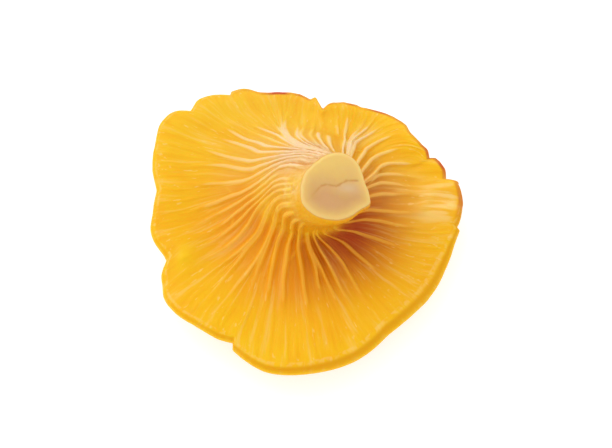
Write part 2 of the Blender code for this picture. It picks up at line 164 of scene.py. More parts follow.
# Neighbours that run close together on the stem and part further out are one gill that forks.
PATH_STATIONS = (0.22, 0.36, 0.42, 0.50, 0.60, 0.76, 1.0)
PATH_SOFTNESS = 0.025  # the bends of a path are rounded over this many stations each way
GILLS = (
    Gill((-15, -3, 4, 9.5, 9.3, 4.6, 3), 0.40, 0.30, 0.85),
    Gill((-9, 2, 8, 15.5, 16.6, 10.6, 6.6), 0.40, 0.40, 0.88),
    Gill((-3, 5, 11, 19, 23.3, 19.5, 12.5), 0.70, 0.25, 0.93),
    Gill((5, 15, 23, 29.5, 31.6, 29.3, 17), 0.60, 0.25, 0.92),
    Gill((15, 26, 33, 37.8, 40.4, 38.6, 29), 0.70, 0.24, 0.94),
    Gill((29, 38, 43.5, 48.2, 50, 47, 41), 0.55, 0.22, 0.94),
    Gill((31, 41, 46.5, 52, 53.4, 51.5, 51.5), 0.60, 0.22, 0.92),
    Gill((33, 44, 49, 54, 55.6, 55, 58), 0.40, 0.24, 0.92),
    Gill((41, 50, 54, 57.6, 61, 64.3, 68), 0.60, 0.20, 0.94),
    Gill((45, 55, 59, 63, 66.5, 71, 75), 0.25, 0.50, 0.92),
    Gill((56, 66, 69.5, 72, 73.5, 75, 78), 0.40, 0.27, 0.52),
    Gill((63, 75, 80, 80, 79.5, 80, 80.9), 0.45, 0.27, 0.53),
    Gill((70, 82, 87, 86, 85, 85, 85.6), 0.15, 0.12, 0.80),
    Gill((76, 90, 96, 94.5, 92.5, 90, 88), 0.18, 0.08, 0.82),
    Gill((81, 95, 99.5, 98, 96.8, 94.5, 92), 0.24, 0.08, 0.74),
    Gill((85, 100, 105, 107, 106.3, 100.5, 95), 0.26, 0.06, 0.88),
    Gill((88, 103, 107, 108.5, 108, 105.2, 104), 0.32, 0.06, 0.90),
    Gill((91, 106, 109, 109.6, 111, 114, 116), 0.26, 0.06, 0.80),
    Gill((94, 109, 112.5, 114.3, 119.8, 127, 126), 0.30, 0.04, 0.80),
    Gill((97, 113, 118, 121.5, 126, 131.5, 133), 0.20, 0.30, 0.84),
    Gill((101, 119, 128, 130.6, 134.3, 137, 140), 0.40, 0.02, 0.86),
    Gill((105, 127, 136.5, 137.6, 139.8, 146, 148), 0.38, 0.02, 0.84),
    Gill((111, 138, 148, 150, 152, 154, 156), 0.36, 0.02, 0.90),
    Gill((118, 149, 157, 158, 159, 165, 168.5), 0.32, 0.04, 0.92),
    Gill((127, 160, 169, 170.5, 172, 175.3, 176.6), 0.32, 0.06, 0.88),
    Gill((142, 174, 180.5, 182, 184.6, 189, 191), 0.36, 0.06, 0.85),
    Gill((155, 181, 187, 190, 192.6, 197, 198), 0.26, 0.20, 0.82),
    Gill((166, 189, 194, 197.3, 200.4, 203, 205), 0.34, 0.10, 0.80),
    Gill((174, 195, 200.5, 204, 206.3, 208.5, 211), 0.38, 0.06, 0.80),
    Gill((182, 199.5, 208.3, 213, 214.6, 214.3, 216), 0.42, 0.08, 0.80),
    Gill((190, 213.5, 221.5, 223, 222, 221.4, 221), 0.45, 0.08, 0.82),
    Gill((192, 215.5, 223.5, 224.5, 226, 228.5, 231), 0.40, 0.08, 0.80),
    Gill((202, 227, 232.5, 234.8, 235.2, 235.3, 236.3), 0.58, 0.10, 0.80),
    Gill((204, 229, 234.5, 236.4, 239, 243, 245), 0.42, 0.10, 0.74),
    Gill((216, 238.5, 241.7, 245, 248.2, 251.5, 254), 0.78, 0.12, 0.74),
    Gill((229, 250, 252.5, 254.2, 256.2, 260, 262), 0.84, 0.14, 0.76),
    Gill((240, 257.5, 261.5, 265, 267.8, 271, 273), 0.94, 0.16, 0.76),
    Gill((252, 266, 271, 275.3, 276.3, 278, 279), 0.80, 0.30, 0.68),
    Gill((254, 268, 272.8, 278, 281.7, 285.5, 288), 0.94, 0.30, 0.78),
    Gill((262, 274.5, 279.5, 284.5, 287.3, 290.3, 293), 0.84, 0.28, 0.80),
    Gill((268, 279, 288, 294, 296, 297, 298.5), 0.96, 0.27, 0.84),
    Gill((272, 284, 294, 299, 302, 304, 306), 0.25, 0.52, 0.88),
    Gill((276, 288, 300.8, 306, 309.4, 311.5, 314), 0.64, 0.28, 0.82),
    Gill((284, 296, 309, 315.5, 319, 320.5, 323), 0.22, 0.52, 0.84),
    Gill((292, 303, 315.5, 322.7, 327.6, 331, 335), 0.42, 0.28, 0.84),
    Gill((304, 318, 330, 337.3, 340.4, 343.4, 347.3), 0.42, 0.28, 0.88),
    Gill((318, 332, 340.5, 345.5, 349, 351, 352), 0.42, 0.28, 0.86),
    Gill((332, 345, 354, 359.5, 361, 361, 358.5), 0.34, 0.28, 0.86),
)
# Half a ridge's width at its foot, by station. It narrows outwards.
RIDGE_HALF_WIDTH = ((0.0, 0.5), (0.3, 0.75), (0.45, 0.85), (0.6, 0.75), (0.8, 0.6), (1.0, 0.5))
ROOM_SHARE = 0.38  # of the gap to the next ridge that one may fill
MERGED_GAP = (0.35, 0.5)  # on the stem and off it, the furrow of two ridges opens from this gap
OPEN_GAP = (0.9, 1.5)  # and has its full depth at this one

# A ridge rises within this many stations, is highest at the stem's foot, and then sinks slowly.
RIDGE_RISE = 0.09
STEM_RIDGE_SHARE = 0.6
SINK_FROM = 0.5
SHORTEST_SINK = 0.1
FAINT_SHARE = 0.05

# What only this finer surface has. A ridge's side is round between these shares of its width.
CREST_ROUND = (0.12, 1.05)
LINE_WOBBLE = 0.14
LINE_WOBBLE_WAVES = 11
VEINS_BETWEEN = 2  # at most this many cross one furrow
VEIN_WIDTH = 0.012  # in stations
LOW_RIDGES_BETWEEN = 3  # at most this many stand in one furrow
LOW_RIDGE_HEIGHT = 0.13
LOW_RIDGE_HALF_WIDTH = 0.4
LOW_RIDGE_ROOM = 1.6  # of furrow that each needs
FIBRE_DEPTH = 0.035
FLANK_LUMPS = 0.16  # height of the uneven flesh on the stem's flank

# The crack across the cut, in plan from the middle of the cut, and its depth and half width.
CRACK = (
    (-4.8, -2.8), (-3.5, -1.1), (-2.5, -0.1), (-1.4, 0.2), (0.2, -0.1), (2.1, 1.1), (4.2, 1.3),
)
CRACK_DEPTH = 0.025
CRACK_HALF_WIDTH = 0.2
CRACK_RAGGED = 0.16
CRACK_FADE = (-5.0, -2.5)  # its left end fades in between these places
CRACK_STEP = 0.05  # the front side of the crack has sunk by this much beside it
CRACK_STEP_REACH = 1.4
# The flesh is lighter on the crack's front side here.
BEIGE_PLACE = np.array((2.3, -0.2))
BEIGE_REACH = np.array((2.2, 1.0))
# The cut is a little rough, its edge is rounded off, and its rim is uneven.
CUT_ROUGH = 0.05
CUT_EDGE = 0.22
CUT_UNEVEN = 0.08

# Small features of the upper side: azimuth, station, reach in plan and height.
KNOBS = (
    (178, 0.075, 0.7, 0.55),
    (186, 0.15, 0.9, 0.4),
    (209.5, 0.85, 1.5, 0.3),
    (209.5, 0.86, 0.7, 0.2),
    (160, 0.41, 1.1, -0.5),
    (264, 0.39, 0.7, 0.5),
    (260, 0.42, 0.5, 0.3),
    (275, 0.47, 0.8, 0.3),
    (302, 0.375, 0.6, 0.5),
    (317, 0.39, 0.6, 0.45),
    (238, 0.27, 0.6, 0.5),
    (285, 0.30, 0.5, 0.4),
    (352, 0.74, 0.9, 0.3),
    (355, 0.76, 0.9, 0.35),
    (358.5, 0.785, 0.9, 0.35),
)

# Rings and columns of the mesh. The roll of the margin is an arc.
FIRST_STATION = 0.01
UPPER_RINGS = 92
COLUMN_TURN = 0.5  # the widest step between two columns at the margin
FEWEST_COLUMNS = 8
ROLL_STEPS = 8
CUT_RINGS = 26
SKIN_RINGS = 30
SLOPE_STEP = 0.01


def smooth_step(low, high, value):
    share = np.clip((value - low) / (high - low), 0.0, 1.0)
    return share * share * (3.0 - 2.0 * share)


def near(value, middle, reach):
    """1 at the middle, falling off on both sides of it."""
    return np.exp(-(((value - middle) / reach) ** 2))


def near_turn(azimuth, middle, reach):
    """The same round a circle, for azimuths."""
    return near((azimuth - middle + 180) % 360 - 180, 0, reach)


def spline(knots, values, at):
    """A smooth curve through the values at the knots, read at the given places."""
    knots = np.asarray(knots, float)
    values = np.asarray(values, float)
    slopes = np.gradient(values, knots, axis=0)
    at = np.clip(at, knots[0], knots[-1])
    i = np.clip(np.searchsorted(knots, at, side="right") - 1, 0, len(knots) - 2)
    width = knots[i + 1] - knots[i]
    x = (at - knots[i]) / width
    return (
        values[i] * (2 * x**3 - 3 * x**2 + 1)
        + slopes[i] * width * (x**3 - 2 * x**2 + x)
        + values[i + 1] * (3 * x**2 - 2 * x**3)
        + slopes[i + 1] * width * (x**3 - x**2)
    )


def around(table, azimuth):
    """A smooth closed curve through a table of azimuth and value."""
    knots = [a for a, _ in table]
    values = [v for _, v in table]
    wrapped = [knots[-1] - 360, *knots, knots[0] + 360, knots[1] + 360]
    return spline(wrapped, [values[-1], *values, values[0], values[1]],
                  knots[0] + (azimuth - knots[0]) % 360)


def ring_noise(azimuth, cycles, shift):
    """Noise round a circle, of about that many cycles."""
    radius = cycles / (2 * math.pi)
    turn = np.radians(azimuth)
    return np.array([
        noise.noise(Vector((radius * math.cos(a), radius * math.sin(a), shift))) for a in turn
    ])


def margin_curve():
    """Azimuths and radii of the whole outline, with a corner wherever two lobes meet."""
    azimuths, radii = [], []
    for lobe in MARGIN_LOBES:
        knots, values = zip(*lobe)
        at = np.linspace(knots[0], knots[-1], 24 * len(lobe))
        azimuths.extend(at)
        radii.extend(spline(knots, values, at))
    azimuths = np.array(azimuths)
    # The thin dried margin at the back and right is crinkled, the rest only a little uneven.
    crinkle = 0.10 + 0.22 * near_turn(azimuths, 45, 60)
    uneven = 0.5 + 0.5 * ring_noise(azimuths, 70, 3.0) + 0.3 * ring_noise(azimuths, 160, 5.0)
    return azimuths, np.array(radii) - crinkle * np.clip(uneven, 0.0, 1.0)


OUTLINE = margin_curve()


def margin_radius(azimuth, nearness=1.0):
    """Radius of the margin, with its nicks as sharp as the given nearness to the margin."""
    sharp = np.interp(azimuth, *OUTLINE, period=360)
    turns = np.linspace(-NICK_BLUR, NICK_BLUR, 9)
    soft = np.mean([np.interp(azimuth + turn, *OUTLINE, period=360) for turn in turns], axis=0)
    return soft + (sharp - soft) * nearness


def direction(azimuth):
    turn = np.radians(azimuth)
    return np.stack((np.cos(turn), np.sin(turn)), axis=-1)


def margin_height(azimuth):
    """Height of the margin's crest round the cap."""
    height = np.full(np.shape(azimuth), PROFILE[-1].height)
    for amplitude, waves, crest in MARGIN_WAVES:
        height = height + amplitude * np.cos(np.radians(waves * (azimuth - crest)))
    # The right margin is folded into frills.
    frills = 0.35 * np.sin(np.radians(34 * azimuth)) * near_turn(azimuth, 3, 13)
    return height + frills


def upper_point(azimuth, at):
    """A point of the upper side with no ridges on it, for an array of azimuths at one station."""
    cut = around(CUT_RIM, azimuth)
    crest = margin_radius(azimuth, smooth_step(0.5, 1.0, at)) - around(ROLL_INSET, azimuth)
    radii = [
        cut + s.to_foot * (FOOT_RADIUS - cut) + s.to_margin * (crest - FOOT_RADIUS)
        for s in PROFILE
    ]
    knots = [s.at for s in PROFILE]
    flare = FLARE * near_turn(azimuth, FLARE_AZIMUTH, FLARE_REACH)
    flare = flare * math.sin(math.pi * min(at / LEAN_END, 1.0))
    radius = spline(knots, radii, at) + flare * (FOOT_RADIUS - cut)
    lean = smooth_step(0.0, LEAN_END, at)
    centre = CUT_CENTRE + lean * (FAN_CENTRE - CUT_CENTRE)
    plan = centre + radius[..., None] * direction(azimuth)

    height = spline(knots, [s.height for s in PROFILE], at)
    height = height + (margin_height(azimuth) - PROFILE[-1].height) * smooth_step(LEAN_END, 1.0, at)
    height = height + ((plan - centre) @ CUT_SLOPE) * (1.0 - smooth_step(0.0, LEAN_END, at))
    for turn, reach_out, reach, swell in SWELLINGS:
        away = plan - FAN_CENTRE - reach_out * direction(turn)
        height = height + swell * np.exp(-(away**2).sum(axis=-1) / (2 * reach**2))
    return np.concatenate((plan, height[..., None]), axis=-1)


def upper_normal(azimuth, at):
    """Outward direction of the upper side at those points."""
    low, high = max(at - SLOPE_STEP, 0.0), min(at + SLOPE_STEP, 1.0)
    outward = upper_point(azimuth, high) - upper_point(azimuth, low)
    across = upper_point(azimuth + 0.5, at) - upper_point(azimuth - 0.5, at)
    normal = np.cross(outward, across)
    return normal / np.linalg.norm(normal, axis=-1, keepdims=True)


GILL = {
    name: np.array([getattr(g, name) for g in GILLS], float) for name in Gill._fields
}


def line_noise(at, cycles, shift):
    """One noise value for each gill, which varies along it."""
    return np.array([noise.noise(Vector((7.3 * i, shift, cycles * at))) for i in range(len(GILLS))])


class Fan(NamedTuple):
    """All the gills at one station."""

    azimuth: np.ndarray
    height: np.ndarray
    gap: np.ndarray  # to the next gill, in millimetres
    gap_turn: np.ndarray  # the same in degrees


def fan_at(at):
    nearby = (at - PATH_SOFTNESS, at, at + PATH_SOFTNESS)
    centre = np.mean([spline(PATH_STATIONS, GILL["path"].T, station) for station in nearby], axis=0)
    across = upper_point(centre, at) - upper_point(centre + 180, at)
    per_mm = np.degrees(2 / np.linalg.norm(across[:, :2], axis=1))
    wobble = LINE_WOBBLE * line_noise(at, LINE_WOBBLE_WAVES, 0.5) * smooth_step(0.4, 0.6, at)
    azimuth = centre + wobble * per_mm
    gap_turn = (np.roll(azimuth, -1) - azimuth) % 360
    rise = smooth_step(0.0, RIDGE_RISE, at - GILL["start"])
    rise = rise * (STEM_RIDGE_SHARE + (1 - STEM_RIDGE_SHARE) * smooth_step(0.0, 0.45, at))
    sink_from = np.minimum(SINK_FROM, GILL["reach"] - SHORTEST_SINK)
    sink = 1 - (1 - FAINT_SHARE) * smooth_step(sink_from, GILL["reach"], at)
    height = GILL["height"] * rise * sink * (1 + 0.3 * line_noise(at, 9, 4.5))
    return Fan(azimuth, height, gap_turn / per_mm, gap_turn)


def columns():
    """For each column of the mesh the gill before it and its share of the way to the next."""
    gill, share = [], []
    margin = GILL["path"][:, -1]
    gaps = (np.roll(margin, -1) - margin) % 360
    for i, gap in enumerate(gaps):
        count = max(FEWEST_COLUMNS, 4 * math.ceil(gap / COLUMN_TURN / 4))
        gill += [i] * count
        share += [k / count for k in range(count)]
    gill, share = np.array(gill), np.array(share)
    return gill, share, margin[gill] + share * gaps[gill]


# The last is the azimuth at which a column reaches the margin.
COLUMN_GILL, COLUMN_SHARE, COLUMN_END = columns()


def furrow_extras():
    """Seeded veins and low ridges for each furrow."""
    draw = random.Random(SEED)
    veins, low = [], []
    for _ in GILLS:
        for slot in range(VEINS_BETWEEN):
            there = draw.random() < (0.5, 0.25)[slot]
            veins.append((
                draw.uniform(0.45, 0.85), draw.uniform(-0.12, 0.12),
                draw.uniform(0.15, 0.4) if there else 0.0,
            ))
        for slot in range(LOW_RIDGES_BETWEEN):
            place = (slot + 0.5 + draw.uniform(-0.22, 0.22)) / LOW_RIDGES_BETWEEN
            low.append((draw.uniform(0.5, 0.78), place, draw.uniform(0.3, 1.0)))
    count = len(GILLS)
    return np.array(veins).reshape(count, -1, 3), np.array(low).reshape(count, -1, 3)


VEINS, LOW_RIDGES = furrow_extras()


def rounded(distance, half):
    """Cross-section of a ridge: 1 on its line, 0 where its side meets the furrow."""
    return 1 - smooth_step(*CREST_ROUND, distance / half)


def around_fan(turn, size):
    """A closed circle of points to read noise on, about that many millimetres to a unit."""
    radius = 30 / size
    turn = np.radians(turn)
    return radius * np.cos(turn), radius * np.sin(turn)


def fibre_noise(at, size, along, shift):
    """Noise drawn out along the furrows for every column, seamless round the fan."""
    place = zip(*around_fan(COLUMN_END, size))
    return np.array([noise.noise(Vector((x, y, along * at + shift))) for x, y in place])


def relief(fan, at):
    """Height of the false gills over the flesh in every column, and how much of a crest it is."""
    i, share = COLUMN_GILL, COLUMN_SHARE
    gap = fan.gap[i]
    half = np.minimum(np.interp(at, *zip(*RIDGE_HALF_WIDTH)), ROOM_SHARE * gap)
    before, after = fan.height[i], np.roll(fan.height, -1)[i]
    top = before + share * (after - before)
    off_stem = smooth_step(0.36, LEAN_END, at)
    merged, opened = (on + off_stem * (off - on) for on, off in (MERGED_GAP, OPEN_GAP))
    joined = 1 - smooth_step(merged, opened, gap)
    sides = before * rounded(share * gap, half) + after * rounded((1 - share) * gap, half)
    raised = joined * top + (1 - joined) * sides
    crest = np.clip(raised / np.maximum(top, 1e-6), 0, 1)
    between = 1 - crest
    crest = crest * smooth_step(0.0, 0.32, top)

    for slot in range(VEINS_BETWEEN):
        station, slant, size = VEINS[i, slot].T
        vein = size * near(at, station + slant * (share - 0.5), VEIN_WIDTH)
        raised = raised + between * vein * top
        crest = np.maximum(crest, between * vein * smooth_step(0.0, 0.45, top))
    fade = 1 - smooth_step(0.93, 1.0, at)
    room = LOW_RIDGE_ROOM * LOW_RIDGES_BETWEEN
    for slot in range(LOW_RIDGES_BETWEEN):
        start, place, size = LOW_RIDGES[i, slot].T
        low = size * rounded(np.abs(share - place) * gap, LOW_RIDGE_HALF_WIDTH)
        low = low * smooth_step(0.0, 0.1, at - start) * smooth_step(0.5 * room, room, gap)
        raised = raised + LOW_RIDGE_HEIGHT * low * between * fade
        crest = np.maximum(crest, 0.45 * low)

    fibre = fibre_noise(at, 1.1, 6, 0.0) + 0.6 * fibre_noise(at, 0.5, 12, 7.0)
    raised = raised + FIBRE_DEPTH * fibre * smooth_step(0.02, 0.3, at) * fade
    return raised, crest


def lumps(points, at):
    """Uneven flesh on the stem's flank at those points."""
    strength = FLANK_LUMPS * smooth_step(0.0, 0.05, at) * (1 - smooth_step(0.3, LEAN_END, at))
    if strength == 0:
        return np.zeros(len(points))
    coarse = np.array([noise.noise(Vector(p * 0.9)) for p in points])
    fine = np.array([noise.noise(Vector(p * 2.3)) for p in points])
    return strength * (coarse + 0.6 * fine)


def knobs(points):
    """Small bumps and pits of the upper side at those points."""
    height = np.zeros(len(points))
    for azimuth, at, reach, size in KNOBS:
        middle = upper_point(np.array([float(azimuth)]), at)[0]
        away = ((points - middle) ** 2).sum(axis=1)
        height = height + size * np.exp(-away / reach**2)
    return height


def roll_ring(azimuth, step):
    """A ring of the margin's roll, an arc from its crest over the edge to its underside."""
    inset = around(ROLL_INSET, azimuth)
    half = around(MARGIN_THICKNESS, azimuth) / 2
    turn = math.pi * step / ROLL_STEPS
    reach = inset if turn < math.pi / 2 else np.minimum(inset, half)
    radius = margin_radius(azimuth) - reach * (1 - math.sin(turn))
    height = margin_height(azimuth) - half * (1 - math.cos(turn))
    plan = FAN_CENTRE + radius[..., None] * direction(azimuth)
    return np.concatenate((plan, height[..., None]), axis=-1)


def skin_ring(azimuth, share):
    """A ring of the cap's skin, which faces down. Shallow flutes leave three places to rest on."""
    shares, heights = zip(*SKIN_PROFILE[::-1])
    edge = margin_radius(azimuth, smooth_step(0.5, 1.0, share))
    radius = share * (edge - around(MARGIN_THICKNESS, azimuth) / 2)
    plan = FAN_CENTRE * share + direction(azimuth) * radius[..., None]
    sway = (margin_height(azimuth) - PROFILE[-1].height) * smooth_step(0.5, 1.0, share)
    near_rest = near(share, REST_SHARE, REST_REACH)
    flute = FLUTE_HEIGHT * (1 - np.cos(np.radians(3 * (azimuth - REST_AZIMUTH)))) / 2
    level = spline(shares, heights, share) + sway + near_rest * (flute - SETTLED)
    return np.concatenate((plan, np.maximum(level, 0.0)[..., None]), axis=-1)


def crack_at(plan):
    """Distance from the crack, and 1 on its front side, for points of the cut's plan."""
    distance = np.full(len(plan), np.inf)
    front = np.zeros(len(plan))
    for a, b in zip(np.array(CRACK[:-1]), np.array(CRACK[1:])):
        along = np.clip((plan - a) @ (b - a) / ((b - a) @ (b - a)), 0, 1)
        away = plan - a - along[:, None] * (b - a)
        reach = np.linalg.norm(away, axis=1)
        closer = reach < distance
        distance = np.where(closer, reach, distance)
        front = np.where(closer, away[:, 1] < 0, front)
    return distance, front


def cut_ring(azimuth, share):
    """A ring of the stem's cut, how deep its points lie in the crack, and how beige they are."""
    rim = around(CUT_RIM, azimuth) - CUT_UNEVEN * (1 + ring_noise(azimuth, 40, 9.0))
    plan = share * rim[:, None] * direction(azimuth)
    distance, front = crack_at(plan)
    ragged = np.array([noise.noise(Vector((1.7 * x, 1.7 * y, 6.0))) for x, y in plan])
    crack = near(distance + CRACK_RAGGED * ragged, 0, CRACK_HALF_WIDTH)
    crack = crack * smooth_step(*CRACK_FADE, plan[:, 0])
    sunk = CRACK_DEPTH * crack + CRACK_STEP * front * np.exp(-distance / CRACK_STEP_REACH)
    rough = np.array([noise.noise(Vector((0.9 * x, 0.9 * y, 2.0))) for x, y in plan]) - 1
    edge = CUT_EDGE * smooth_step(0.9, 1.0, share) ** 2
    height = CUT_HEIGHT + plan @ CUT_SLOPE - sunk - edge + CUT_ROUGH * rough
    beige = np.exp(-((plan - BEIGE_PLACE) ** 2 / BEIGE_REACH**2).sum(axis=1)) * front
    return np.concatenate((CUT_CENTRE + plan, height[:, None]), axis=-1), crack, beige


TRAITS = (
    "crest", "station", "roll", "skin", "cut", "cut_share", "crack", "beige",
    "pale", "bundle", "fluff", "tan", "warm", "deep", "light", "frill", "bright", "dried",
    "golden",
)


class Surface:
    """Rings of points with their traits, joined by faces from the cut to the middle of the skin."""

    def __init__(self):
        self.points = []
        self.fans = []
        self.traits = {name: [] for name in TRAITS}
        self.faces = []
        self.last = None

    def add_ring(self, points, fan, **traits):
        first = sum(len(p) for p in self.points)
        self.points.append(points)
        self.fans.append(fan)
        for name in TRAITS:
            self.traits[name].append(np.broadcast_to(traits.get(name, 0.0), len(points)))
        ring = np.arange(first, first + len(points))
        if self.last is not None:
            self.bridge(self.last, ring)
        self.last = ring

    def bridge(self, inner, outer):
        """Faces between two closed rings, of which one may have half as many points, or one."""
        if len(inner) == len(outer):
            quads = (inner, outer, np.roll(outer, -1), np.roll(inner, -1))
            self.faces += np.stack(quads, axis=1).tolist()
        elif len(inner) == 1:
            fan = (np.repeat(inner, len(outer)), outer, np.roll(outer, -1))
            self.faces += np.stack(fan, axis=1).tolist()
        elif len(outer) == 1:
            fan = (inner, np.repeat(outer, len(inner)), np.roll(inner, -1))
            self.faces += np.stack(fan, axis=1).tolist()
        elif len(inner) > len(outer):
            a, b, c = inner[::2], inner[1::2], np.roll(inner[::2], -1)
            low, high = outer, np.roll(outer, -1)
            for corners in ((a, low, b), (b, low, high), (b, high, c)):
                self.faces += np.stack(corners, axis=1).tolist()
        else:
            a, b, c = outer[::2], outer[1::2], np.roll(outer[::2], -1)
            low, high = inner, np.roll(inner, -1)
            for corners in ((low, a, b), (low, b, high), (high, b, c)):
                self.faces += np.stack(corners, axis=1).tolist()

    def mesh(self, name):
        """The surface as a mesh in metres, its plan centred on the solid that it stands for."""
        points = np.concatenate(self.points)
        low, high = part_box("chanterelle")
        middle = (points.min(axis=0) + points.max(axis=0)) / 2
        target = (np.array(low) + np.array(high)) / 2
        points[:, :2] -= middle[:2] - target[:2] / MM
        data = bpy.data.meshes.new(name)
        data.from_pydata((points * MM).tolist(), [], self.faces)
        for trait, parts in self.traits.items():
            values = data.attributes.new(trait, "FLOAT", "POINT")
            values.data.foreach_set("value", np.concatenate(parts).astype(np.float32))
        fan = data.attributes.new("fan", "FLOAT_VECTOR", "POINT")
        fan.data.foreach_set("vector", np.concatenate(self.fans).astype(np.float32).ravel())
        data.shade_smooth()
        data.update()
        return data


def fan_place(at, stride=1):
    """Seamless coordinates, in millimetres, in which a texture can follow the furrows."""
    x, y = around_fan(COLUMN_END[::stride], 1.0)
    return np.stack((x, y, np.full(len(x), 30 * at)), axis=-1)


def upper_masks(azimuth, at):
    """Where the gill side is pale, tan, orange, dark or dried, as shares for every column. The dark
    is partly painted shadow, the bright partly painted light.
    """
    def zone(middle, reach, full, gone):
        """A sector about an azimuth, full up to one station and gone at the next."""
        return near_turn(azimuth, middle, reach) * (1 - smooth_step(full, gone, at))

    def patch(middle, reach, place, depth):
        """A spot about an azimuth and a station."""
        return near_turn(azimuth, middle, reach) * near(at, place, depth)

    off_stem = smooth_step(0.33, 0.41, at)
    return {
        "pale": np.clip(
            zone(120, 60, 0.36, 0.72) + 0.6 * zone(50, 6, 0.7, 0.9) + 0.5 * zone(160, 35, 0.1, 0.4)
            + 0.35 * off_stem * zone(105, 55, 2, 3), 0, 1),
        "bundle": np.clip(
            zone(122, 36, 0.28, 0.42) + zone(86, 22, 0.32, 0.41) + 0.2 * zone(51, 5, 0.62, 0.85),
            0, 0.9),
        "fluff": zone(178, 21, 0.1, 0.24) + 0.3 * zone(228, 18, 0.1, 0.3),
        "tan": zone(2, 26, 0.5, 0.95),
        "warm": off_stem * np.clip(
            zone(225, 70, 0.42, 0.82) + 0.35 * zone(200, 35, 2, 3) + 0.35 * zone(318, 35, 2, 3)
            + 0.25 * zone(270, 35, 0.8, 1.0) + 0.6 * zone(322, 28, 0.6, 0.9)
            - 0.25 * zone(236, 28, 0.5, 0.6) + 0.35 * patch(260, 22, 0.64, 0.1), 0, 1),
        # deep: the hollow at the front right of the stem is a deeper orange brown, partly the
        # flesh's own colour and partly painted shadow cast by the stem; the last term is painted
        # shadow only, on the stem's flank there.
        "deep": np.clip(
            off_stem * (zone(316, 48, 0.42, 0.80) - 0.3 * zone(248, 12, 0.5, 0.7)
                        - 0.1 * patch(300, 14, 0.6, 0.08))
            + 0.6 * zone(320, 20, 0.3, 0.42) * smooth_step(0.04, 0.14, at), 0, 1),
        "frill": zone(357, 9, 0.92, 1.0) * smooth_step(0.68, 0.8, at),
        # bright: painted light on the swelling near the left margin, where the bulge faces the
        # light, and a brighter yellow on the front left of the stem's flank.
        "bright": 0.6 * patch(209, 5, 0.855, 0.06) + 0.45 * zone(245, 45, 0.08, 0.2),
        "light": near_turn(azimuth, 110, 75) + 0.6 * near_turn(azimuth, 30, 35),
        "dried": dried(azimuth) * smooth_step(0.965, 0.992, at),
    }


def dried(azimuth):
    """The margin has dried at the back and at the right, in patches."""
    back = near_turn(azimuth, 104, 12) + 0.8 * near_turn(azimuth, 54, 30)
    right = near_turn(azimuth, 15, 9) + 0.6 * near_turn(azimuth, -2, 7)
    return np.clip(back + right, 0, 1) * np.clip(0.75 + 0.7 * ring_noise(azimuth, 55, 1.0), 0, 1)


def add_cut(surface, azimuth):
    shares = np.concatenate((np.linspace(0.0, 0.93, CUT_RINGS), (0.96, 0.985, 1.0)))
    for share in shares:
        stride = 4 if share < 0.6 else 2 if share < 0.97 else 1
        at = azimuth[:1] if share == 0 else azimuth[::stride]
        points, crack, beige = cut_ring(at, share)
        surface.add_ring(points, np.pad(points[:, :2], ((0, 0), (0, 1))), cut=1.0,
                         cut_share=share, crack=crack, beige=beige)


def add_upper(surface):
    for at in np.linspace(FIRST_STATION, 1.0, UPPER_RINGS):
        fan = fan_at(at)
        azimuth = fan.azimuth[COLUMN_GILL] + COLUMN_SHARE * fan.gap_turn[COLUMN_GILL]
        raised, crest = relief(fan, at)
        points = upper_point(azimuth, at)
        lift = raised + knobs(points) + lumps(points, at)
        points = points + lift[:, None] * upper_normal(azimuth, at)
        surface.add_ring(points, fan_place(at), crest=crest, station=at, **upper_masks(azimuth, at))
    return azimuth


def add_roll(surface, azimuth):
    for step in range(1, ROLL_STEPS + 1):
        share = step / ROLL_STEPS
        # The gold band is partly the roll's own colour and partly painted shade, strongest at the
        # front right, where the roll faces away from the light.
        golden = np.clip(0.35 + near_turn(azimuth, 300, 55), 0, 1)
        surface.add_ring(roll_ring(azimuth, step), fan_place(1 + 0.1 * share), station=1.0,
                         roll=share, skin=smooth_step(0.6, 1.0, share), golden=golden,
                         dried=dried(azimuth) * (1 - smooth_step(0.3, 0.9, share)))


def add_skin(surface, azimuth):
    even = azimuth[0] + np.arange(len(azimuth)) * 360 / len(azimuth)
    for share in np.linspace(0.98, 0.0, SKIN_RINGS):
        stride = 2 if share > 0.8 else 4
        spaced = (azimuth * share + even * (1 - share))[::stride]
        place = fan_place(1.1 + (1 - share), stride)
        if share == 0:
            spaced, place = spaced[:1], place[:1]
        surface.add_ring(skin_ring(spaced, share), place, station=1.0, roll=1.0, skin=1.0)


def chanterelle_surface():
    surface = Surface()
    fan = fan_at(FIRST_STATION)
    top = fan.azimuth[COLUMN_GILL] + COLUMN_SHARE * fan.gap_turn[COLUMN_GILL]
    add_cut(surface, top)
    azimuth = add_upper(surface)
    add_roll(surface, azimuth)
    add_skin(surface, azimuth)
    return surface


def srgb(red, green, blue):
    """A colour as a picture gives it, 0 to 255, in the linear values that a shader takes."""
    def linear(value):
        value = value / 255
        return value / 12.92 if value <= 0.04045 else ((value + 0.055) / 1.055) ** 2.4
    return (linear(red), linear(green), linear(blue), 1.0)


